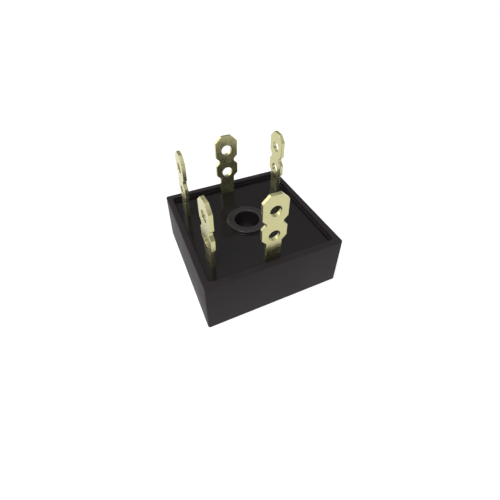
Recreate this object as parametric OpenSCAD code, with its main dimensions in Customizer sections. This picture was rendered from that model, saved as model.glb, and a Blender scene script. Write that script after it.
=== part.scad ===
// Three-phase bridge rectifier in a square moulded case, with five upright terminals.
// Millimetres. The origin is the centre of the mounting face, and +Z points to the terminals.
// A case wall stands round a metal base plate. An insulator on the plate carries two tracks,
// six chips sit on the tracks, three clips join the chips in pairs, and resin fills the rest.

/* [Case] */
// Outside width and depth of the square case
case_w = 28.5; // [28:0.5:32]
// Height from the mounting face to the rim
case_h = 11.2; // [10.6:0.2:13]
// Thickness of the case wall
wall = 1.25; // [1:0.05:1.4]
// Outside radius of the case's upright corners
corner_r = 0.4; // [0.2:0.1:1.2]
// Inside radius of the case's upright corners
inner_corner_r = 0.8; // [0.4:0.1:1.2]
// Chamfer round the outside of the rim
rim_chamfer = 0.15; // [0.05:0.05:0.4]
// Depth of the resin's surface below the rim
resin_recess = 1.0; // [0.6:0.1:1.8]

/* [Mounting hole] */
// Diameter of the mounting hole
hole_d = 5.3; // [4.5:0.1:5.6]
// Thickness of the sleeve round the hole
sleeve_wall = 1.65; // [1.2:0.05:1.8]
// Depth of the sleeve's top below the rim
sleeve_recess = 0.4; // [0:0.05:0.5]
// Chamfer at the top edges of the sleeve
sleeve_chamfer = 0.2; // [0.05:0.05:0.4]
// Depth of the sleeve's seat in the base plate
sleeve_seat = 0.6; // [0.3:0.1:1.2]

/* [Base plate] */
// Thickness of the base plate
plate_t = 2.6; // [2:0.1:3]
// Width of the ledge inside the case that the plate sits against
plate_ledge = 0.5; // [0.3:0.05:0.7]
// Corner radius of the base plate
plate_corner_r = 1.0; // [0.5:0.1:2]

/* [Insulator and tracks] */
// Thickness of the ceramic insulator
insulator_t = 0.63; // [0.4:0.01:1]
// Gap between the insulator's edge and the case wall
insulator_gap = 0.6; // [0.3:0.1:0.8]
// Gap between the sleeve and the hole in the insulator
insulator_hole_gap = 0.3; // [0.1:0.05:0.4]
// Distance from the insulator's edge to the tracks
track_edge = 0.4; // [0.2:0.1:0.5]
// Distance from the sleeve to the inner track
track_sleeve_gap = 1.0; // [0.8:0.1:1.4]
// Thickness of a track
track_t = 0.5; // [0.3:0.1:0.8]
// Gap between the two tracks
track_gap = 0.5; // [0.3:0.1:0.6]
// Width of the negative track's lug on each side of its terminal
lug_border = 1.0; // [0.4:0.1:2]
// Thickness of every solder joint
solder_t = 0.1; // [0.05:0.01:0.15]

/* [Chips and clips] */
// Distance from a square chip's edge to its track's edge
chip_border = 0.15; // [0.05:0.05:0.4]
// Thickness of a diode chip
chip_t = 0.3; // [0.2:0.05:0.4]
// Distance along the case from a side terminal to the chips of its phase
side_chip_offset = 2.6; // [1:0.1:3.6]
// Thickness of a clip
clip_t = 0.5; // [0.3:0.1:0.8]
// Height of the contact bosses under a clip
boss_h = 0.3; // [0.2:0.1:0.5]
// Share of a chip's width that the contact boss on it covers
boss_share = 0.72; // [0.5:0.02:0.9]
// Distance that a clip reaches past a chip or a terminal's foot
clip_border = 0.2; // [0.1:0.1:0.4]

/* [Terminals] */
// Height from the mounting face to the tips of the terminals
overall_h = 25.2; // [23:0.2:27]
// Thickness of the terminal strip
tab_t = 0.8; // [0.6:0.1:1]
// Width of the terminal's two heads
tab_w = 5; // [4.6:0.1:5.6]
// Width of the waist between the heads
waist_w = 3.4; // [3:0.1:4]
// Width of the stem below the heads
stem_w = 3.2; // [2.8:0.1:4]
// Corner chamfer at the terminal's tip
tip_chamfer = 1.4; // [0.8:0.1:1.8]
// Height of the upper head
upper_head_h = 5; // [4.6:0.1:5.6]
// Height of the waist, slopes included
waist_h = 2.2; // [1.8:0.1:2.8]
// Height of the lower head, slopes left out
lower_head_h = 2.4; // [2:0.1:3]
// Diameter of the wire holes
wire_hole_d = 2.3; // [1.8:0.1:2.6]
// Distance from the tip to the upper wire hole's centre
upper_hole_drop = 3.4; // [2.8:0.1:3.8]
// Distance between the two wire holes' centres
wire_hole_pitch = 5.6; // [5:0.1:6]
// Distance from the case's outside to the front and back terminals' strips
tab_inset = 2.8; // [2.6:0.05:3.2]
// Distance from the case's outside to the side terminals' strips
side_tab_inset = 3.2; // [2.8:0.05:3.4]
// Distance from the case's front or back to the middle of a side terminal
side_tab_setback = 6.15; // [5.85:0.05:7]
// Inside radius of the bend at the foot
bend_r = 0.4; // [0.2:0.1:0.8]
// Length of the foot, bend included
foot_l = 2.6; // [2.2:0.1:2.8]
// Outward lean of the positive terminal, in degrees
positive_lean = 0.6; // [0:0.2:5]
// Turn of the positive terminal about its upright, in degrees
positive_twist = 3; // [0:0.5:6]

/* [Hidden] */
$fn = 64;

case_half = case_w / 2;
cavity_w = case_w - 2 * wall;
plate_w = cavity_w + 2 * plate_ledge;
sleeve_r = hole_d / 2 + sleeve_wall;

// Heights of the layers, from the mounting face up.
insulator_z = plate_t + solder_t;
track_solder_z = insulator_z + insulator_t;
track_z = track_solder_z + solder_t;
track_top = track_z + track_t;
chip_z = track_top + solder_t;
chip_top = chip_z + chip_t;
boss_z = chip_top + solder_t;
clip_z = boss_z + boss_h;
clip_top = clip_z + clip_t;
resin_z = case_h - resin_recess;
sleeve_top = case_h - sleeve_recess;

// Edges of the layers in plan, measured from the middle.
insulator_half = cavity_w / 2 - insulator_gap;
outer_track_half = insulator_half - track_edge;
track_w = (outer_track_half - track_gap - sleeve_r - track_sleeve_gap) / 2;
outer_track_in = outer_track_half - track_w;
inner_track_half = outer_track_in - track_gap;
inner_track_in = inner_track_half - track_w;
chip_w = track_w - 2 * chip_border;
boss_w = chip_w * boss_share;
outer_chip = outer_track_half - track_w / 2;
inner_chip = inner_track_half - track_w / 2;
tab_centre = case_half - tab_inset;
side_tab_centre = case_half - side_tab_inset;
side_tab_y = case_half - side_tab_setback;
side_chip_y = side_tab_y - side_chip_offset;

// Heights of the points of a terminal's outline.
upper_head_z = overall_h - upper_head_h;
lower_head_top = upper_head_z - waist_h;
lower_head_z = lower_head_top - lower_head_h;
waist_slope = (tab_w - waist_w) / 2;
stem_slope = (tab_w - stem_w) / 2;
upper_hole_z = overall_h - upper_hole_drop;
lower_hole_z = upper_hole_z - wire_hole_pitch;

// A little more than nothing, for cuts that pass a face.
past = 1;
// Depth below the resin at which a bent blade starts.
bent_root = 0.3;

// A square block with round upright corners of radius r, from z = 0 up to h.
module rounded_block(w, r, h) {
  for (turn = [0, 90])
    rotate(turn)
      translate([-w / 2, -w / 2 + r, 0])
        cube([w, w - 2 * r, h]);
  for (x = [-1, 1], y = [-1, 1])
    translate([x * (w / 2 - r), y * (w / 2 - r), 0])
      cylinder(h = h, r = r);
}

// The sloping band that closes a rounded block of width w with a chamfer c.
module chamfer_band(w, r, c) {
  for (turn = [0, 90])
    rotate(turn)
      translate([0, w / 2 - r, 0])
        rotate([90, 0, 0])
          linear_extrude(w - 2 * r)
            polygon([[-w / 2, 0], [w / 2, 0], [w / 2 - c, c], [c - w / 2, c]]);
  for (x = [-1, 1], y = [-1, 1])
    translate([x * (w / 2 - r), y * (w / 2 - r), 0])
      cylinder(h = c, r1 = r, r2 = r - c);
}

// A flat square frame with its outer and inner half widths.
module square_frame(outer, inner, h) {
  difference() {
    translate([-outer, -outer, 0])
      cube([2 * outer, 2 * outer, h]);
    translate([-inner, -inner, -past])
      cube([2 * inner, 2 * inner, h + 2 * past]);
  }
}

// The moulded case: four walls with a ledge inside their foot for the base plate.
module case_shell() {
  chamfer = min(rim_chamfer, corner_r / 2);
  color([0.06, 0.06, 0.065])
    difference() {
      union() {
        rounded_block(case_w, corner_r, case_h - chamfer);
        translate([0, 0, case_h - chamfer])
          chamfer_band(case_w, corner_r, chamfer);
      }
      translate([0, 0, -past])
        rounded_block(cavity_w, inner_corner_r, case_h + 2 * past);
      translate([0, 0, -past])
        rounded_block(plate_w, plate_corner_r, plate_t + past);
    }
}

// The moulded sleeve that keeps the resin out of the mounting hole.
module hole_sleeve() {
  bore = hole_d / 2;
  foot = plate_t - sleeve_seat;
  c = sleeve_chamfer;
  color([0.07, 0.07, 0.075])
    rotate_extrude()
      polygon([
        [bore, foot], [sleeve_r, foot], [sleeve_r, sleeve_top - c],
        [sleeve_r - c, sleeve_top], [bore + c, sleeve_top], [bore, sleeve_top - c]
      ]);
}

// The metal plate that carries the heat to what the part is screwed on.
module base_plate() {
  color([0.75, 0.76, 0.78])
    difference() {
      rounded_block(plate_w, plate_corner_r, plate_t);
      translate([0, 0, -past])
        cylinder(h = plate_t + 2 * past, r = hole_d / 2);
      translate([0, 0, plate_t - sleeve_seat])
        cylinder(h = sleeve_seat + past, r = sleeve_r);
    }
}

// A square sheet the size of the insulator, with its hole round the sleeve.
module insulator_sheet(h) {
  difference() {
    translate([-insulator_half, -insulator_half, 0])
      cube([2 * insulator_half, 2 * insulator_half, h]);
    translate([0, 0, -past])
      cylinder(h = h + 2 * past, r = sleeve_r + insulator_hole_gap);
  }
}

module base_solder() {
  color([0.7, 0.7, 0.68])
    translate([0, 0, plate_t])
      insulator_sheet(solder_t);
}

module insulator() {
  color([0.93, 0.92, 0.88])
    translate([0, 0, insulator_z])
      insulator_sheet(insulator_t);
}

// The outer track: a frame whose front is open between its two legs.
module outer_track_shape(h) {
  difference() {
    square_frame(outer_track_half, outer_track_in, h);
    translate([-outer_track_in, -outer_track_half - past, -past])
      cube([2 * outer_track_in, track_w + 2 * past, h + 2 * past]);
  }
}

// The inner track: a closed frame with a lug at the front for its terminal.
module inner_track_shape(h) {
  lug_w = stem_w + 2 * lug_border;
  square_frame(inner_track_half, inner_track_in, h);
  translate([-lug_w / 2, -outer_track_half, 0])
    cube([lug_w, outer_track_half - inner_track_half, h]);
}

module track_solder() {
  color([0.7, 0.7, 0.68])
    translate([0, 0, track_solder_z]) {
      outer_track_shape(solder_t);
      inner_track_shape(solder_t);
    }
}

module positive_track() {
  color([0.8, 0.5, 0.3])
    translate([0, 0, track_z])
      outer_track_shape(track_t);
}

module negative_track() {
  color([0.8, 0.5, 0.3])
    translate([0, 0, track_z])
      inner_track_shape(track_t);
}

// Moves to the chip of phase 0, 1 or 2 that lies at distance r from the middle.
module at_chip(phase, r) {
  place = [[-r, side_chip_y], [0, r], [r, side_chip_y]][phase];
  translate([place[0], place[1], 0])
    children();
}

// A square pad of side w, from z = z0 up to z0 + h.
module pad(w, z0, h) {
  translate([-w / 2, -w / 2, z0])
    cube([w, w, h]);
}

module chip(phase, r) {
  color([0.35, 0.36, 0.4])
    at_chip(phase, r)
      pad(chip_w, chip_z, chip_t);
}

module all_chip_pads(w, z0, h) {
  for (phase = [0:2], r = [outer_chip, inner_chip])
    at_chip(phase, r)
      pad(w, z0, h);
}

module chip_solder_lower() {
  color([0.7, 0.7, 0.68])
    all_chip_pads(chip_w, track_top, solder_t);
}

module chip_solder_upper() {
  color([0.7, 0.7, 0.68])
    all_chip_pads(boss_w, chip_top, solder_t);
}

// The clip of a side phase, for the left side: it joins two chips and the terminal's foot.
module side_clip() {
  low_y = side_chip_y - chip_w / 2 - clip_border;
  high_y = side_tab_y + stem_w / 2 + clip_border;
  translate([-outer_track_half, low_y, clip_z])
    cube([outer_track_half - inner_track_in, high_y - low_y, clip_t]);
}

module middle_clip() {
  half = max(chip_w, stem_w) / 2 + clip_border;
  translate([-half, inner_track_in, clip_z])
    cube([2 * half, outer_track_half - inner_track_in, clip_t]);
}

// The clip of phase 0, 1 or 2, with its two contact bosses.
module clip(phase) {
  color([0.8, 0.5, 0.3]) {
    if (phase == 1)
      middle_clip();
    else
      mirror([phase / 2, 0, 0])
        side_clip();
    for (r = [outer_chip, inner_chip])
      at_chip(phase, r)
        pad(boss_w, boss_z, boss_h);
  }
}

// The blade's outline, with x across the strip and y up it, from foot_y to the tip.
module blade_outline(foot_y) {
  right_side = [
    [stem_w / 2, foot_y], [stem_w / 2, lower_head_z - stem_slope],
    [tab_w / 2, lower_head_z], [tab_w / 2, lower_head_top],
    [waist_w / 2, lower_head_top + waist_slope], [waist_w / 2, upper_head_z - waist_slope],
    [tab_w / 2, upper_head_z], [tab_w / 2, overall_h - tip_chamfer],
    [tab_w / 2 - tip_chamfer, overall_h]
  ];
  left_side = [for (i = [len(right_side) - 1:-1:0]) [-right_side[i][0], right_side[i][1]]];
  polygon(concat(right_side, left_side));
}

// The upright blade with its wire holes: the strip's width is along X and it stands on y = 0.
module blade(foot_z) {
  difference() {
    rotate([90, 0, 0])
      translate([0, 0, -tab_t / 2])
        linear_extrude(tab_t)
          blade_outline(foot_z);
    for (z = [upper_hole_z, lower_hole_z])
      translate([0, 0, z])
        rotate([90, 0, 0])
          cylinder(h = tab_t + 2 * past, d = wire_hole_d, center = true);
  }
}

// The bend and the foot that lies on z = foot_z and points to +Y.
module foot(foot_z) {
  outer = bend_r + tab_t;
  translate([-stem_w / 2, -tab_t / 2, foot_z])
    rotate([90, 0, 90]) {
      linear_extrude(stem_w)
        translate([outer, outer])
          intersection() {
            difference() {
              circle(outer);
              circle(bend_r);
            }
            translate([-outer, -outer])
              square(outer);
          }
      translate([outer, 0, 0])
        cube([foot_l - outer, tab_t, stem_w]);
    }
}

// A whole terminal that stands at y = 0.
module terminal(foot_z) {
  foot(foot_z);
  blade(foot_z + bend_r + tab_t);
}

// A terminal that was bent a little where it comes out of the resin.
module bent_terminal(foot_z, lean, twist) {
  blade_z = foot_z + bend_r + tab_t;
  foot(foot_z);
  translate([-stem_w / 2, -tab_t / 2, blade_z])
    cube([stem_w, tab_t, resin_z - blade_z]);
  translate([0, 0, resin_z])
    rotate([lean, 0, twist])
      translate([0, 0, -resin_z])
        blade(resin_z - bent_root);
}

// Turns a terminal so that its foot points inwards from the left, back, right or front.
module at_left(y) {
  translate([-side_tab_centre, y, 0])
    rotate(-90)
      children();
}

module at_back() {
  translate([0, tab_centre, 0])
    rotate(180)
      children();
}

module at_right(y) {
  translate([side_tab_centre, y, 0])
    rotate(90)
      children();
}

module at_front() {
  translate([0, -tab_centre, 0])
    children();
}

phase_foot_z = clip_top + solder_t;
track_foot_z = track_top + solder_t;

module terminal_metal() {
  color([0.82, 0.78, 0.6])
    children();
}

module terminal_a() {
  terminal_metal()
    at_left(side_tab_y)
      terminal(phase_foot_z);
}

module terminal_b() {
  terminal_metal()
    at_back()
      terminal(phase_foot_z);
}

module terminal_c() {
  terminal_metal()
    at_right(side_tab_y)
      terminal(phase_foot_z);
}

module terminal_positive() {
  terminal_metal()
    at_left(-side_tab_y)
      bent_terminal(track_foot_z, positive_lean, positive_twist);
}

module terminal_negative() {
  terminal_metal()
    at_front()
      terminal(track_foot_z);
}

// The joint under one terminal's foot, whose top is at foot_z.
module foot_solder(foot_z) {
  outer = bend_r + tab_t;
  translate([-stem_w / 2, outer - tab_t / 2, foot_z - solder_t])
    cube([stem_w, foot_l - outer, solder_t]);
}

module terminal_solder() {
  color([0.7, 0.7, 0.68]) {
    at_left(side_tab_y)
      foot_solder(phase_foot_z);
    at_back()
      foot_solder(phase_foot_z);
    at_right(side_tab_y)
      foot_solder(phase_foot_z);
    at_left(-side_tab_y)
      foot_solder(track_foot_z);
    at_front()
      foot_solder(track_foot_z);
  }
}

// Everything that the resin is poured round.
module potted_pieces() {
  base_solder();
  insulator();
  track_solder();
  positive_track();
  negative_track();
  chip_solder_lower();
  all_chip_pads(chip_w, chip_z, chip_t);
  chip_solder_upper();
  for (phase = [0:2])
    clip(phase);
  terminal_solder();
  terminal_a();
  terminal_b();
  terminal_c();
  terminal_positive();
  terminal_negative();
}

// The potting resin, poured between the case and the sleeve.
module resin() {
  color([0.04, 0.038, 0.04])
    difference() {
      translate([0, 0, plate_t])
        rounded_block(cavity_w, inner_corner_r, resin_z - plate_t);
      translate([0, 0, plate_t - past])
        cylinder(h = resin_z - plate_t + 2 * past, r = sleeve_r);
      potted_pieces();
    }
}

case_shell();  // case
hole_sleeve();
base_plate();
base_solder();
insulator();
track_solder();
positive_track();
negative_track();
chip_solder_lower();
chip(0, outer_chip);  // chip_a_positive
chip(1, outer_chip);  // chip_b_positive
chip(2, outer_chip);  // chip_c_positive
chip(0, inner_chip);  // chip_a_negative
chip(1, inner_chip);  // chip_b_negative
chip(2, inner_chip);  // chip_c_negative
chip_solder_upper();
clip(0);  // clip_a
clip(1);  // clip_b
clip(2);  // clip_c
terminal_solder();
terminal_a();
terminal_b();
terminal_c();
terminal_positive();
terminal_negative();
resin();
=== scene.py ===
# %% [markdown]
# # A three-phase bridge rectifier
#
# The real object is a small power part. A square moulded case stands round a metal base
# plate, black resin fills the case, and five stamped blades stand up out of the resin.
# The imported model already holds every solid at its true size. This script gives each
# piece its finish, and makes finer meshes where the solids' sharp edges would show.

import math

import bmesh
import bpy
from mathutils import Matrix, Vector


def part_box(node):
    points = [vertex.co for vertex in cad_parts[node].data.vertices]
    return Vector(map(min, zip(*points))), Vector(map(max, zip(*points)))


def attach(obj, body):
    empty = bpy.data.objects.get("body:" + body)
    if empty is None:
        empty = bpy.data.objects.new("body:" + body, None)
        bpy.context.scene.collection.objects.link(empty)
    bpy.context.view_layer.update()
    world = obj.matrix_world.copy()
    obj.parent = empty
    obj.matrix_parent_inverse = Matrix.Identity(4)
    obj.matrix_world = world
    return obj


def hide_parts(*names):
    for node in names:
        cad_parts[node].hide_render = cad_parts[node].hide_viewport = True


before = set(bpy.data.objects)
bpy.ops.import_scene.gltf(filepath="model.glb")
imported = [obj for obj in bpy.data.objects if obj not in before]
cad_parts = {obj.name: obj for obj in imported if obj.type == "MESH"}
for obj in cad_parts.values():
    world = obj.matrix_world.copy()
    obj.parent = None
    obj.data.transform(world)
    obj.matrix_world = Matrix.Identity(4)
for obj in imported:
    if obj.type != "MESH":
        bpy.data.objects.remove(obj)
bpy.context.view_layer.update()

# %% [markdown]
# ## Sizes
#
# Blender works in metres here, so one millimetre is a named value. Heights and widths are
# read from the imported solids, and only what a box can't tell is written down again.

# %% Sizes read from the solids
MM = 0.001

# A box is the lowest and the highest corner of a solid.
case_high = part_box("case")[1]
CASE_HALF = case_high.x
RIM_Z = case_high.z

resin_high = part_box("resin")[1]
CAVITY_HALF = resin_high.x
RESIN_Z = resin_high.z

plate_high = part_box("base_plate")[1]
PLATE_HALF = plate_high.x
PLATE_TOP = plate_high.z

sleeve_low, sleeve_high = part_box("hole_sleeve")
SLEEVE_RADIUS = sleeve_high.x
SLEEVE_TOP = sleeve_high.z
SLEEVE_FOOT = sleeve_low.z

blade_low, blade_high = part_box("terminal_b")
BLADE_WIDTH = blade_high.x - blade_low.x
FOOT_LENGTH = blade_high.y - blade_low.y
TIP_Z = blade_high.z

HOLE_RADIUS = 2.65 * MM
STRIP = 0.8 * MM
print("rim", round(RIM_Z, 5), "resin", round(RESIN_Z, 5), "blade", round(BLADE_WIDTH, 5), "m")


# %% [markdown]
# ## Two helpers for nodes
#
# Colours are easiest to read as sRGB hex codes, as in any paint program. Shaders work with
# linear light, so one function converts them. A second function adds a node, sets its
# values and makes its links in one call, for materials and Geometry Nodes alike.

# %% Helpers for colours and nodes
def linear(hex_code):
    """An sRGB hex colour as linear RGBA."""
    channels = [int(hex_code[i : i + 2], 16) / 255 for i in (1, 3, 5)]
    curve = [c / 12.92 if c <= 0.04045 else ((c + 0.055) / 1.055) ** 2.4 for c in channels]
    return (*curve, 1.0)


def add_node(tree, kind, inputs=None, **settings):
    """A new node. An input is a value, an output socket, a node, or a list of those."""
    node = tree.nodes.new(kind)
    for name, value in settings.items():
        setattr(node, name, value)
    for key, given in (inputs or {}).items():
        several = given if isinstance(given, list) else [given]
        for value in reversed(several):
            if isinstance(value, bpy.types.Node):
                value = value.outputs[0]
            if isinstance(value, bpy.types.NodeSocket):
                tree.links.new(value, node.inputs[key])
            else:
                node.inputs[key].default_value = value
    return node


print("mid grey is", [round(c, 3) for c in linear("#808080")])

# %% [markdown]
# ## The camera
#
# The camera looks down from the front left with a wide lens, close to the part. It sits on
# a line from a point on the floor, so two angles and a distance set it. The lens is shifted
# a little, so that the part sits above the middle of the frame.
# The Standard view transform shows colours as they are written.

# %% Camera
AZIMUTH = math.radians(-24.01)
ELEVATION = math.radians(36.13)
AIM = Vector((9.8, 22.94, 0)) * MM
DISTANCE = 95.73 * MM
SENSOR = 36
LENS = 23.185
SHIFT_X = 0.0093
SHIFT_Y = -0.1187
NEAREST = 1 * MM
FARTHEST = 10

towards_camera = Vector(
    (
        math.sin(AZIMUTH) * math.cos(ELEVATION),
        -math.cos(AZIMUTH) * math.cos(ELEVATION),
        math.sin(ELEVATION),
    )
)
camera_data = bpy.data.cameras.new("camera")
camera_data.sensor_width = SENSOR
camera_data.lens = LENS
camera_data.shift_x = SHIFT_X
camera_data.shift_y = SHIFT_Y
camera_data.clip_start = NEAREST
camera_data.clip_end = FARTHEST

camera = bpy.data.objects.new("camera", camera_data)
camera.location = AIM + towards_camera * DISTANCE
camera.rotation_euler = (-towards_camera).to_track_quat("-Z", "Y").to_euler()
bpy.context.scene.collection.objects.link(camera)
bpy.context.scene.camera = camera
bpy.context.scene.view_settings.view_transform = "Standard"
print("camera at", [round(v / MM, 1) for v in camera.location], "mm")

# %% [markdown]
# ## Floor and light
#
# A part shown on white needs a floor that is white but still holds a shadow. The floor's
# shader mixes plain diffuse white with white that shines by itself, so the shadow is faint.
# The world is white to the camera. Polished metal shows whatever is round it, so mirrors
# see a room instead: a white horizon, darker walls above it and a lighter ceiling. One soft
# lamp above and one wide window behind, on the left, give the edges their light.


# %% Floor
FLOOR_SIZE = 6.0
GLOW_STRENGTH = 1.14
GLOW_SHARE = 0.72


def white_floor_material():
    """White that is part diffuse, so that it takes a shadow, and part glow."""
    material = bpy.data.materials.new("white_sweep")
    material.use_nodes = True
    tree = material.node_tree
    tree.nodes.clear()
    white = linear("#ffffff")
    matt = add_node(tree, "ShaderNodeBsdfDiffuse", {"Color": white})
    glow = add_node(tree, "ShaderNodeEmission", {"Color": white, "Strength": GLOW_STRENGTH})
    both = add_node(tree, "ShaderNodeMixShader", {0: GLOW_SHARE, 1: matt, 2: glow})
    add_node(tree, "ShaderNodeOutputMaterial", {"Surface": both})
    return material


def add_floor(size):
    """A square floor, this wide, under the part."""
    mesh = bpy.data.meshes.new("floor")
    half = size / 2
    corners = [(-half, -half, 0), (half, -half, 0), (half, half, 0), (-half, half, 0)]
    mesh.from_pydata(corners, [], [(0, 1, 2, 3)])
    mesh.materials.append(white_floor_material())
    piece = bpy.data.objects.new("floor", mesh)
    bpy.context.scene.collection.objects.link(piece)
    return piece


floor = add_floor(FLOOR_SIZE)
print("floor", [round(v, 2) for v in floor.dimensions], "m")

# %% World
# Pairs of the sine of the elevation and the brightness there, as mirrors see the room.
ROOM = [(0, 1), (0.3, 0.35), (0.58, 0.3), (0.66, 0.5), (0.78, 0.9), (1, 0.9)]
SKY_LIGHT = 0.65
HALFWAY = 0.5


def white_room():
    """A world that is white to the camera, a room to mirrors and soft light to the rest."""
    world = bpy.data.worlds.new("white_room")
    world.use_nodes = True
    tree = world.node_tree
    tree.nodes.clear()
    white = linear("#ffffff")
    path = add_node(tree, "ShaderNodeLightPath")
    direction = add_node(tree, "ShaderNodeTexCoord").outputs["Generated"]
    height = add_node(tree, "ShaderNodeSeparateXYZ", {"Vector": direction}).outputs["Z"]
    room = add_node(tree, "ShaderNodeValToRGB", {"Fac": height})
    stops = room.color_ramp.elements
    while len(stops) < len(ROOM):
        stops.new(HALFWAY)
    for stop, (position, value) in zip(stops, ROOM):
        stop.position = position
        stop.color = (value, value, value, 1)
    lit = add_node(tree, "ShaderNodeBackground", {"Color": white, "Strength": SKY_LIGHT})
    mirrored = add_node(tree, "ShaderNodeBackground", {"Color": room})
    shown = add_node(tree, "ShaderNodeBackground", {"Color": white})
    is_mirror = path.outputs["Is Glossy Ray"]
    is_seen = add_node(
        tree,
        "ShaderNodeMath",
        {0: path.outputs["Is Camera Ray"], 1: path.outputs["Is Transmission Ray"]},
        operation="MAXIMUM",
    )
    unseen = add_node(tree, "ShaderNodeMixShader", {0: is_mirror, 1: lit, 2: mirrored})
    both = add_node(tree, "ShaderNodeMixShader", {0: is_seen, 1: unseen, 2: shown})
    add_node(tree, "ShaderNodeOutputWorld", {"Surface": both})
    return world


bpy.context.scene.world = white_room()
print("world:", bpy.context.scene.world.name)


# %% Lamps
def soft_lamp(name, place, size, power):
    """A round lamp that faces the part, at a place and a size in mm and a power in watts."""
    data = bpy.data.lights.new(name, "AREA")
    data.shape = "DISK"
    data.size = size * MM
    data.energy = power
    lamp = bpy.data.objects.new(name, data)
    lamp.location = Vector(place) * MM
    lamp.rotation_euler = lamp.location.to_track_quat("Z", "Y").to_euler()
    bpy.context.scene.collection.objects.link(lamp)
    return lamp


lamps = [
    soft_lamp("overhead", (-120, -60, 300), 160, 0.45),
    soft_lamp("window", (-160, 260, 170), 260, 0.3),
]
for lamp in lamps:
    print(lamp.name, round(lamp.data.energy, 2), "W,", round(lamp.location.length, 3), "m away")

# %% [markdown]
# ## One recipe for every finish
#
# Nearly every surface here has two patterns. Wide, soft patches change its colour and its
# gloss a little, and a fine grain gives it relief. So one function builds them all from
# real sizes: a noise with a scale of 1 / size has about one bump for each size, and a
# stretch draws it out along an axis. The patterns read Object coordinates, so they stay
# put on their piece.


# %% The recipe
# Most of a noise's values lie between these two.
NOISE_LOW = 0.3
NOISE_HIGH = 0.7


def make_finish(name, shader_values, colours, gloss, patch, grain, depth):
    """A material from two patterns.

    The patches take the colour and the roughness from the first of a pair to the second.
    patch and grain are (size, detail, stretch along x, y and z), and the grain has a depth.
    Sizes and the depth are in metres.
    """
    material = bpy.data.materials.new(name)
    material.use_nodes = True
    tree = material.node_tree
    shader = tree.nodes["Principled BSDF"]
    for key, value in shader_values.items():
        shader.inputs[key].default_value = value
    place = add_node(tree, "ShaderNodeTexCoord").outputs["Object"]
    patterns = []
    for size, detail, stretch in (patch, grain):
        scale = tuple(1 / (size * s) for s in stretch)
        drawn_out = add_node(tree, "ShaderNodeMapping", {"Vector": place, "Scale": scale})
        noise = {"Vector": drawn_out, "Scale": 1.0, "Detail": detail}
        patterns.append(add_node(tree, "ShaderNodeTexNoise", noise))
    patches, bumps = patterns
    first, second = [linear(code) for code in colours]
    colour = add_node(
        tree,
        "ShaderNodeMix",
        {"Factor": patches, "A": first, "B": second},
        data_type="RGBA",
    )
    usual = {"From Min": NOISE_LOW, "From Max": NOISE_HIGH}
    wanted = {"To Min": gloss[0], "To Max": gloss[1]}
    roughness = add_node(tree, "ShaderNodeMapRange", {"Value": patches, **usual, **wanted})
    relief = add_node(tree, "ShaderNodeBump", {"Height": bumps, "Distance": depth})
    tree.links.new(colour.outputs["Result"], shader.inputs["Base Color"])
    tree.links.new(roughness.outputs["Result"], shader.inputs["Roughness"])
    tree.links.new(relief.outputs["Normal"], shader.inputs["Normal"])
    return material


EVEN = (1, 1, 1)
print("each finish has a patch pattern and a grain")

# %% [markdown]
# ### Moulded black plastic
#
# The case is glass-filled thermoplastic from a lightly etched mould. The etching makes a
# fine matt grain that traps most of the mirror-like reflection, so the specular level is
# low and the roughness high. The true grain is about 0.05 mm. It is drawn four times as
# coarse here, because less wouldn't show.

# %% Moulded plastic
PLASTIC = make_finish(
    "moulded_plastic",
    {"IOR": 1.5, "Specular IOR Level": 0.11},
    colours=("#252023", "#2c2729"),
    gloss=(0.5, 0.6),
    patch=(5 * MM, 3, EVEN),
    grain=(0.2 * MM, 2, EVEN),
    depth=0.008 * MM,
)
print(PLASTIC.name)

# %% [markdown]
# ### Polished black plastic
#
# The sleeve round the hole comes from a smoother mould, because a screw has to slide into
# it. It is the same plastic, but with a little gloss, so that its rounded edges catch a
# soft line of light.

# %% Polished plastic
POLISHED_PLASTIC = make_finish(
    "polished_plastic",
    {"IOR": 1.5, "Specular IOR Level": 0.36},
    colours=("#1e1a1c", "#252023"),
    gloss=(0.26, 0.34),
    patch=(2 * MM, 3, EVEN),
    grain=(0.3 * MM, 2, EVEN),
    depth=0.003 * MM,
)
print(POLISHED_PLASTIC.name)

# %% [markdown]
# ### Cast potting resin
#
# The resin is a black epoxy that was poured in and cured. It levels itself, so its skin is
# glossy with long, very shallow waves, and a little dust dulls it in patches.

# %% Potting resin
RESIN = make_finish(
    "potting_resin",
    {"IOR": 1.5, "Specular IOR Level": 0.2},
    colours=("#131012", "#1a1618"),
    gloss=(0.14, 0.22),
    patch=(1.5 * MM, 4, EVEN),
    grain=(9 * MM, 1, EVEN),
    depth=0.06 * MM,
)
print(RESIN.name)

# %% [markdown]
# ### Plated terminals
#
# The blades are stamped from brass strip and plated with tin, which leaves a pale, slightly
# yellow mirror. Rolling leaves faint lines along the strip, and handling dulls it in spots.
# The lines are drawn about five times as coarse as real ones, so that they show. A thin
# film of oxide scatters a little of the light, so the shader isn't wholly metallic.

# %% Tinned brass
TINNED = make_finish(
    "tinned_brass",
    {"Metallic": 0.94},
    colours=("#bcb889", "#ccc898"),
    gloss=(0.2, 0.34),
    patch=(1.6 * MM, 3, EVEN),
    grain=(0.12 * MM, 2, (1, 1, 25)),
    depth=0.0009 * MM,
)
print(TINNED.name)

# %% [markdown]
# ### Nickel-plated base
#
# The base plate's underside is ground flat before it is plated, so it is a warm grey metal
# with fine parallel lines. They run along Y here, so both patterns are drawn out that way.
# True grinding lines are a few hundredths of a millimetre apart, and these are coarser.

# %% Ground and plated nickel
NICKEL = make_finish(
    "ground_nickel",
    {"Metallic": 1.0},
    colours=("#bdbab2", "#d2cfc8"),
    gloss=(0.26, 0.34),
    patch=(0.35 * MM, 3, (1, 40, 40)),
    grain=(0.15 * MM, 3, (1, 60, 60)),
    depth=0.005 * MM,
)
print(NICKEL.name)

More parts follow.
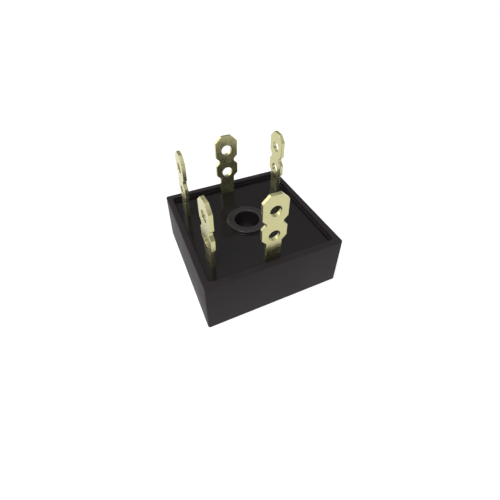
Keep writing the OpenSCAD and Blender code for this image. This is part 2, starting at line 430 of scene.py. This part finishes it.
# %% [markdown]
# ### Finishes of the sealed pieces
#
# The pieces in the resin can't be seen, but anyone who takes the model apart will see
# them. Fired alumina is matt and off-white, copper strip is rolled and slightly tarnished,
# polished silicon is a dark mirror, and solder sets with a dull, finely wrinkled skin.
# Their grains are drawn coarser than real ones too, so that they show close up.

# %% Alumina, copper, silicon and solder
ALUMINA = make_finish(
    "fired_alumina",
    {"IOR": 1.7},
    colours=("#e2ddd0", "#efebe1"),
    gloss=(0.5, 0.65),
    patch=(0.3 * MM, 3, EVEN),
    grain=(0.3 * MM, 3, EVEN),
    depth=0.005 * MM,
)
COPPER = make_finish(
    "rolled_copper",
    {"Metallic": 1.0},
    colours=("#b0684a", "#cf8a66"),
    gloss=(0.25, 0.42),
    patch=(2 * MM, 3, EVEN),
    grain=(0.15 * MM, 2, (20, 1, 1)),
    depth=0.004 * MM,
)
SILICON = make_finish(
    "polished_silicon",
    {"Metallic": 0.7},
    colours=("#43464f", "#555963"),
    gloss=(0.08, 0.16),
    patch=(1 * MM, 2, EVEN),
    grain=(1 * MM, 1, EVEN),
    depth=0.001 * MM,
)
SOLDER = make_finish(
    "soft_solder",
    {"Metallic": 1.0},
    colours=("#9a9a96", "#b5b5b1"),
    gloss=(0.35, 0.5),
    patch=(0.25 * MM, 4, EVEN),
    grain=(0.25 * MM, 4, EVEN),
    depth=0.01 * MM,
)
print(ALUMINA.name, COPPER.name, SILICON.name, SOLDER.name)

# %% [markdown]
# ## The sealed pieces and the resin keep their solids
#
# A solid whose shape is right only needs its finish, so each one's material slot is set.
# The resin is one of these, because it fits round everything that was potted.

# %% Finish the solids that stay
kept_finishes = {
    "resin": RESIN,
    "insulator": ALUMINA,
    "positive_track": COPPER,
    "negative_track": COPPER,
    "base_solder": SOLDER,
    "track_solder": SOLDER,
    "chip_solder_lower": SOLDER,
    "chip_solder_upper": SOLDER,
    "terminal_solder": SOLDER,
}
for phase in "abc":
    kept_finishes["clip_" + phase] = COPPER
    kept_finishes["chip_" + phase + "_positive"] = SILICON
    kept_finishes["chip_" + phase + "_negative"] = SILICON

for node, finish in kept_finishes.items():
    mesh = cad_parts[node].data
    mesh.materials.clear()
    mesh.materials.append(finish)
print("finished", len(kept_finishes), "solids")

# %% [markdown]
# ## A loft for the moulded and turned pieces
#
# The case, the sleeve and the base plate are all rings in plan: a square with round
# corners, or a circle, which is a square whose corner radius is half its width. So each is
# made as a stack of such rings with the same number of points, joined by a skin that
# closes on itself. Small steps between the rings round the edges off as a mould does.


# %% Rings
def ring(half_x, half_y, radius, z, steps):
    """The points of a rectangle with round corners, anticlockwise from above."""
    points = []
    for corner, (sx, sy) in enumerate(((1, 1), (-1, 1), (-1, -1), (1, -1))):
        for step in range(steps + 1):
            angle = math.radians(90 * (corner + step / steps))
            x = sx * (half_x - radius) + radius * math.cos(angle)
            y = sy * (half_y - radius) + radius * math.sin(angle)
            points.append((x, y, z))
    return points


# An arc takes up this share of a side at most, so that two arcs never meet.
LARGEST_SHARE = 0.45


def rounded(path, radius, steps=4):
    """A closed path of (half width, height) points with each corner rounded by an arc."""
    result = []
    for i, corner in enumerate(path):
        here = Vector(corner)
        before = Vector(path[i - 1]) - here
        after = Vector(path[(i + 1) % len(path)]) - here
        reach = min(radius, before.length * LARGEST_SHARE, after.length * LARGEST_SHARE)
        start = here + before.normalized() * reach
        end = here + after.normalized() * reach
        for step in range(steps + 1):
            t = step / steps
            bend = start * (1 - t) ** 2 + here * 2 * t * (1 - t) + end * t**2
            result.append(tuple(bend))
    return result


def swept_wall(wall, edge, steps):
    """Rings round a wall's outline of (half width, height, corner radius or None).

    None stands for a circle. Each of the outline's corners is rounded by the edge radius.
    """
    path = rounded([(half, z) for half, z, corner in wall], edge)
    per_corner = len(path) // len(wall)
    corners = [wall[i // per_corner][2] for i in range(len(path))]
    return [
        ring(half, half, half if corner is None else corner, z, steps)
        for (half, z), corner in zip(path, corners)
    ]


print("a ring of 8 steps has", len(ring(1, 1, 0.5, 0, 8)), "points")


# %% Skins
MERGE = 0.0005 * MM
SHARP = math.radians(40)


def add_piece(name, mesh, node=None):
    """An object for a finished mesh. It rides the part and may replace a node's solid."""
    mesh.name = name
    piece = bpy.data.objects.new(name, mesh)
    bpy.context.scene.collection.objects.link(piece)
    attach(piece, "root")
    if node:
        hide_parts(node)
    print(name, "has", len(mesh.polygons), "faces")
    return piece


def skin(rings, material):
    """A closed, smooth mesh over rings that follow a wall's outline back to the first."""
    form = bmesh.new()
    rows = [[form.verts.new(p) for p in points] for points in rings]
    for row, following in zip(rows, rows[1:] + rows[:1]):
        for i in range(len(row)):
            j = (i + 1) % len(row)
            form.faces.new((row[i], row[j], following[j], following[i]))
    bmesh.ops.remove_doubles(form, verts=form.verts, dist=MERGE)
    bmesh.ops.recalc_face_normals(form, faces=form.faces)
    mesh = bpy.data.meshes.new("skin")
    form.to_mesh(mesh)
    form.free()
    mesh.shade_smooth()
    mesh.set_sharp_from_angle(angle=SHARP)
    mesh.materials.append(material)
    return mesh


print("points closer than", MERGE / MM, "mm become one")

# %% [markdown]
# ## The case
#
# The case is one moulding: four walls, with a ledge inside their foot that the base plate
# sits against. Its upright corners are nearly sharp outside and rounder inside. Its wall
# is drawn as a closed path and swept round the square, so each edge gets a small radius.

# %% Case
CASE_CORNER = 0.4 * MM
CAVITY_CORNER = 0.8 * MM
PLATE_CORNER = 1.0 * MM
CASE_EDGE = 0.14 * MM
CORNER_STEPS = 8

case_wall = [
    (CASE_HALF, 0, CASE_CORNER),
    (CASE_HALF, RIM_Z, CASE_CORNER),
    (CAVITY_HALF, RIM_Z, CAVITY_CORNER),
    (CAVITY_HALF, PLATE_TOP, CAVITY_CORNER),
    (PLATE_HALF, PLATE_TOP, PLATE_CORNER),
    (PLATE_HALF, 0, PLATE_CORNER),
]
case_mesh = skin(swept_wall(case_wall, CASE_EDGE, CORNER_STEPS), PLASTIC)
add_piece("moulded_case", case_mesh, "case")

# %% [markdown]
# ## The sleeve and the base plate
#
# The sleeve is a plain moulded tube that stands in a seat in the base plate. The plate is
# a square with a round hole, so its rings change from circles to squares on the way out.

# %% Sleeve
TURNED_STEPS = 24
SLEEVE_EDGE = 0.3 * MM

sleeve_wall = [
    (SLEEVE_RADIUS, SLEEVE_FOOT, None),
    (SLEEVE_RADIUS, SLEEVE_TOP, None),
    (HOLE_RADIUS, SLEEVE_TOP, None),
    (HOLE_RADIUS, SLEEVE_FOOT, None),
]
sleeve_mesh = skin(swept_wall(sleeve_wall, SLEEVE_EDGE, TURNED_STEPS), POLISHED_PLASTIC)
add_piece("moulded_sleeve", sleeve_mesh, "hole_sleeve")

# %% Base plate
PLATE_EDGE = 0.12 * MM

plate_wall = [
    (PLATE_HALF, 0, PLATE_CORNER),
    (PLATE_HALF, PLATE_TOP, PLATE_CORNER),
    (SLEEVE_RADIUS, PLATE_TOP, None),
    (SLEEVE_RADIUS, SLEEVE_FOOT, None),
    (HOLE_RADIUS, SLEEVE_FOOT, None),
    (HOLE_RADIUS, 0, None),
]
plate_mesh = skin(swept_wall(plate_wall, PLATE_EDGE, TURNED_STEPS), NICKEL)
add_piece("ground_base_plate", plate_mesh, "base_plate")

# %% [markdown]
# ## Geometry Nodes for what repeats
#
# The five terminals are one stamping, used five times, so one node tree makes them all. It
# is given an outline and a foot path as plain edges. It fills the outline with the two
# wire holes left open, gives it the strip's thickness, bends it where it leaves the resin
# and puts it in its place. The helpers below start and end a tree and bake its result.

# %% Helpers for a node tree
SOCKETS = {
    "geometry": "NodeSocketGeometry",
    "float": "NodeSocketFloat",
    "vector": "NodeSocketVector",
    "object": "NodeSocketObject",
    "material": "NodeSocketMaterial",
}


def new_tree(name, inputs):
    """A Geometry Nodes tree with these named inputs, and its group input's sockets."""
    tree = bpy.data.node_groups.new(name, "GeometryNodeTree")
    for label, kind in {"Geometry": "geometry", **inputs}.items():
        tree.interface.new_socket(label, in_out="INPUT", socket_type=SOCKETS[kind])
    tree.interface.new_socket("Geometry", in_out="OUTPUT", socket_type=SOCKETS["geometry"])
    return tree, add_node(tree, "NodeGroupInput").outputs


def end_tree(tree, geometry, material):
    """The last nodes of every tree: no instances, and one material."""
    real = add_node(tree, "GeometryNodeRealizeInstances", {"Geometry": geometry})
    painted = add_node(
        tree, "GeometryNodeSetMaterial", {"Geometry": real, "Material": material}
    )
    add_node(tree, "NodeGroupOutput", {"Geometry": painted})


def edge_object(name, chains):
    """A mesh of edges only, in the scene. A chain is (points, closed)."""
    points = []
    edges = []
    for chain, closed in chains:
        first = len(points)
        points.extend(chain)
        edges.extend((i, i + 1) for i in range(first, len(points) - 1))
        if closed:
            edges.append((len(points) - 1, first))
    mesh = bpy.data.meshes.new(name)
    mesh.from_pydata(points, edges, [])
    piece = bpy.data.objects.new(name, mesh)
    bpy.context.scene.collection.objects.link(piece)
    return piece


def baked(tree, source, values):
    """The plain mesh that a tree makes from a source object with these input values."""
    modifier = source.modifiers.new(tree.name, "NODES")
    modifier.node_group = tree
    for item in tree.interface.items_tree:
        if item.in_out == "INPUT" and item.name in values:
            modifier[item.identifier] = values[item.name]
    graph = bpy.context.evaluated_depsgraph_get()
    mesh = bpy.data.meshes.new_from_object(source.evaluated_get(graph), depsgraph=graph)
    source.modifiers.remove(modifier)
    bpy.data.objects.remove(source)
    mesh.shade_smooth()
    return mesh


print("socket kinds:", ", ".join(SOCKETS))


# %% The tree of a terminal
CORNER_POINTS = 3
BEND_POINTS = 6
HOLE_POINTS = 40


def terminal_tree():
    """A flat blade from a closed outline with two holes, and a foot from an open path."""
    tree, given = new_tree(
        "stamped_terminal",
        {
            "Thickness": "float",
            "Stem Width": "float",
            "Corner Radius": "float",
            "Bend Radius": "float",
            "Hole Radius": "float",
            "Upper Hole": "vector",
            "Lower Hole": "vector",
            "Root": "vector",
            "Tilt": "vector",
            "Turn": "vector",
            "Place": "vector",
            "Material": "material",
        },
    )
    curves = add_node(tree, "GeometryNodeMeshToCurve", {"Mesh": given["Geometry"]})
    is_closed = add_node(tree, "GeometryNodeInputSplineCyclic")
    parts = add_node(
        tree,
        "GeometryNodeSeparateGeometry",
        {"Geometry": curves, "Selection": is_closed},
        domain="CURVE",
    )

    outline = add_node(
        tree,
        "GeometryNodeFilletCurve",
        {
            "Curve": parts.outputs["Selection"],
            "Count": CORNER_POINTS,
            "Radius": given["Corner Radius"],
        },
        mode="POLY",
    )
    hole = add_node(
        tree,
        "GeometryNodeCurvePrimitiveCircle",
        {"Resolution": HOLE_POINTS, "Radius": given["Hole Radius"]},
    )
    upper = add_node(
        tree, "GeometryNodeTransform", {"Geometry": hole, "Translation": given["Upper Hole"]}
    )
    lower = add_node(
        tree, "GeometryNodeTransform", {"Geometry": hole, "Translation": given["Lower Hole"]}
    )
    cuts = add_node(tree, "GeometryNodeJoinGeometry", {"Geometry": [outline, upper, lower]})
    sheet = add_node(tree, "GeometryNodeFillCurve", {"Curve": cuts}, mode="NGONS")
    raised = add_node(
        tree,
        "GeometryNodeExtrudeMesh",
        {"Mesh": sheet, "Offset Scale": given["Thickness"], "Individual": False},
        mode="FACES",
    )
    underside = add_node(tree, "GeometryNodeFlipFaces", {"Mesh": sheet})
    shell = add_node(tree, "GeometryNodeJoinGeometry", {"Geometry": [raised, underside]})
    closed = add_node(
        tree, "GeometryNodeMergeByDistance", {"Geometry": shell, "Distance": MERGE}
    )

    half = add_node(
        tree, "ShaderNodeMath", {0: given["Thickness"], 1: 0.5}, operation="MULTIPLY"
    )
    centring = add_node(tree, "ShaderNodeCombineXYZ", {"Y": half})
    upright = add_node(
        tree,
        "GeometryNodeTransform",
        {"Geometry": closed, "Translation": centring, "Rotation": (math.radians(90), 0, 0)},
    )
    down = add_node(
        tree, "ShaderNodeVectorMath", {0: given["Root"], "Scale": -1}, operation="SCALE"
    )
    sunk = add_node(tree, "GeometryNodeTransform", {"Geometry": upright, "Translation": down})
    blade = add_node(
        tree,
        "GeometryNodeTransform",
        {"Geometry": sunk, "Translation": given["Root"], "Rotation": given["Tilt"]},
    )

    path = add_node(
        tree,
        "GeometryNodeFilletCurve",
        {
            "Curve": parts.outputs["Inverted"],
            "Count": BEND_POINTS,
            "Radius": given["Bend Radius"],
        },
        mode="POLY",
    )
    section = add_node(
        tree,
        "GeometryNodeCurvePrimitiveQuadrilateral",
        {"Width": given["Stem Width"], "Height": given["Thickness"]},
    )
    foot = add_node(
        tree,
        "GeometryNodeCurveToMesh",
        {"Curve": path, "Profile Curve": section, "Fill Caps": True},
    )

    whole = add_node(tree, "GeometryNodeJoinGeometry", {"Geometry": [blade, foot]})
    placed = add_node(
        tree,
        "GeometryNodeTransform",
        {"Geometry": whole, "Translation": given["Place"], "Rotation": given["Turn"]},
    )
    end_tree(tree, placed, given["Material"])
    return tree


TERMINAL_TREE = terminal_tree()
print("nodes in the tree:", len(TERMINAL_TREE.nodes))

# %% [markdown]
# ## The blade's outline
#
# Each blade has two heads with a waist between them and a narrower stem below, so that a
# wire can be hooked through a hole or wound round the waist. Heights are measured down
# from the tip, and only the right-hand side is listed, because the left mirrors it.

# %% Outline and foot
WAIST_WIDTH = 3.4 * MM
STEM_WIDTH = 3.2 * MM
TIP_CHAMFER = 1.4 * MM
UPPER_HEAD = 5.0 * MM
WAIST = 2.2 * MM
LOWER_HEAD = 2.4 * MM
BLADE_ROOT = 0.3 * MM


def blade_outline():
    """The outline's points, with x across the strip and y as height."""
    waist_slope = (BLADE_WIDTH - WAIST_WIDTH) / 2
    stem_slope = (BLADE_WIDTH - STEM_WIDTH) / 2
    head_z = TIP_Z - UPPER_HEAD
    lower_top = head_z - WAIST
    lower_z = lower_top - LOWER_HEAD
    right = [
        (STEM_WIDTH / 2, RESIN_Z - BLADE_ROOT),
        (STEM_WIDTH / 2, lower_z - stem_slope),
        (BLADE_WIDTH / 2, lower_z),
        (BLADE_WIDTH / 2, lower_top),
        (WAIST_WIDTH / 2, lower_top + waist_slope),
        (WAIST_WIDTH / 2, head_z - waist_slope),
        (BLADE_WIDTH / 2, head_z),
        (BLADE_WIDTH / 2, TIP_Z - TIP_CHAMFER),
        (BLADE_WIDTH / 2 - TIP_CHAMFER, TIP_Z),
    ]
    left = [(-x, y) for x, y in reversed(right)]
    return [(x, y, 0) for x, y in right + left]


def foot_path(foot_z, length):
    """From the foot's end back to the blade and up to the resin, along the middle."""
    middle = foot_z + STRIP / 2
    return [(0, length - STRIP / 2, middle), (0, 0, middle), (0, 0, RESIN_Z)]


print("points in an outline:", len(blade_outline()))

# %% [markdown]
# ## The five terminals
#
# A terminal is the outline and the foot put through the tree, with a turn and a place. A
# live Bevel modifier rounds the sheared edges, because a real stamping has no knife edge.
# The positive blade was bent a little by handling, so it has a tilt of its own.

# %% Terminals
STAMPED_CORNER = 0.25 * MM
SHEARED_EDGE = 0.07 * MM
EDGE_STEPS = 2
FOOT_BEND = 0.4 * MM
WIRE_HOLE_RADIUS = 1.15 * MM
UPPER_HOLE_Z = TIP_Z - 3.4 * MM
LOWER_HOLE_Z = UPPER_HOLE_Z - 5.6 * MM
STRAIGHT = (0, 0, 0)
BENT = (math.radians(0.6), 0, math.radians(3))


def blade_place(node, side):
    """The middle of a straight blade, whose strip is at the outer side of its box."""
    low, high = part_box(node)
    middle = (low + high) / 2
    places = {
        "left": (low.x + STRIP / 2, middle.y, 0),
        "right": (high.x - STRIP / 2, middle.y, 0),
        "back": (middle.x, high.y - STRIP / 2, 0),
        "front": (middle.x, low.y + STRIP / 2, 0),
    }
    return places[side]


def add_terminal(name, node, place, turn, tilt):
    """One stamped terminal, turned by this many degrees, in place of its solid."""
    foot_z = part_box(node)[0].z
    chains = [(blade_outline(), True), (foot_path(foot_z, FOOT_LENGTH), False)]
    values = {
        "Thickness": STRIP,
        "Stem Width": STEM_WIDTH,
        "Corner Radius": STAMPED_CORNER,
        "Bend Radius": FOOT_BEND + STRIP / 2,
        "Hole Radius": WIRE_HOLE_RADIUS,
        "Upper Hole": (0, UPPER_HOLE_Z, 0),
        "Lower Hole": (0, LOWER_HOLE_Z, 0),
        "Root": (0, 0, RESIN_Z),
        "Tilt": tilt,
        "Turn": (0, 0, math.radians(turn)),
        "Place": place,
        "Material": TINNED,
    }
    mesh = baked(TERMINAL_TREE, edge_object(name + "_edges", chains), values)
    piece = add_piece(name, mesh, node)
    edges = piece.modifiers.new("sheared_edges", "BEVEL")
    edges.width = SHEARED_EDGE
    edges.segments = EDGE_STEPS
    edges.limit_method = "ANGLE"
    edges.angle_limit = SHARP
    edges.harden_normals = True
    return piece


left_place = blade_place("terminal_a", "left")
back_place = blade_place("terminal_b", "back")
right_place = blade_place("terminal_c", "right")
front_place = blade_place("terminal_negative", "front")
bent_place = (left_place[0], -left_place[1], 0)
blades = {
    "phase_blade_a": ("terminal_a", left_place, -90, STRAIGHT),
    "phase_blade_b": ("terminal_b", back_place, 180, STRAIGHT),
    "phase_blade_c": ("terminal_c", right_place, 90, STRAIGHT),
    "positive_blade": ("terminal_positive", bent_place, -90, BENT),
    "negative_blade": ("terminal_negative", front_place, 0, STRAIGHT),
}
for name, (node, place, turn, tilt) in blades.items():
    add_terminal(name, node, place, turn, tilt)

# %% [markdown]
# ## The resin's meniscus
#
# Before it cures, resin creeps up whatever it touches and leaves a small hollow fillet.
# It follows the case wall, the sleeve and each stem, so a second tree sweeps one small
# profile along all of those outlines at once.


# %% The tree of the meniscus
def meniscus_tree():
    """A profile object swept along every closed chain of edges."""
    tree, given = new_tree("resin_fillet", {"Profile": "object", "Material": "material"})
    paths = add_node(tree, "GeometryNodeMeshToCurve", {"Mesh": given["Geometry"]})
    shape = add_node(tree, "GeometryNodeObjectInfo", {"Object": given["Profile"]})
    profile = add_node(tree, "GeometryNodeMeshToCurve", {"Mesh": shape.outputs["Geometry"]})
    swept = add_node(
        tree, "GeometryNodeCurveToMesh", {"Curve": paths, "Profile Curve": profile}
    )
    end_tree(tree, swept, given["Material"])
    return tree


MENISCUS_TREE = meniscus_tree()
print("nodes in the tree:", len(MENISCUS_TREE.nodes))

# %% Profile and paths of the meniscus
CREEP = 0.16 * MM
REACH = 0.2 * MM
SUNK = 0.05 * MM
STEM_ROUND = 0.08 * MM
STEM_STEPS = 3
CREEP_SHARP = math.radians(50)
# A ring that is quite round would repeat the points where its quarters meet.
NEARLY_ROUND = 0.999 * SLEEVE_RADIUS


def creep_profile(steps=6):
    """A hollow triangle: along x away from the wall, and along -y up it."""
    points = [(REACH, SUNK, 0), (0, SUNK, 0)]
    for step in range(steps + 1):
        t = step / steps
        points.append((REACH * t**2, -CREEP * (1 - t) ** 2, 0))
    return points


def stem_outline(place, turn, tilt):
    """A stem's outline at the resin's surface, with tiny round corners."""
    spin = Matrix.Rotation(math.radians(turn) + tilt[2], 4, "Z")
    shift = Vector((place[0], place[1], RESIN_Z))
    flat = ring(STEM_WIDTH / 2, STRIP / 2, STEM_ROUND, 0, STEM_STEPS)
    return [tuple(spin @ Vector(point) + shift) for point in flat]


# The profile stands to one side of its path, so the path inside the case runs backwards.
cavity_path = ring(CAVITY_HALF, CAVITY_HALF, CAVITY_CORNER, RESIN_Z, CORNER_STEPS)
cavity_path.reverse()
sleeve_path = ring(SLEEVE_RADIUS, SLEEVE_RADIUS, NEARLY_ROUND, RESIN_Z, TURNED_STEPS)
paths = [cavity_path, sleeve_path]
for node, place, turn, tilt in blades.values():
    paths.append(stem_outline(place, turn, tilt))
print("paths:", len(paths))

# %% Meniscus
profile = edge_object("creep_profile", [(creep_profile(), True)])
path_edges = edge_object("creep_paths", [(path, True) for path in paths])
meniscus_mesh = baked(MENISCUS_TREE, path_edges, {"Profile": profile, "Material": RESIN})
bpy.data.objects.remove(profile)
meniscus_mesh.set_sharp_from_angle(angle=CREEP_SHARP)
add_piece("resin_meniscus", meniscus_mesh)
heights = [v.co.z / MM for v in meniscus_mesh.vertices]
print("meniscus from", round(min(heights), 2), "to", round(max(heights), 2), "mm")
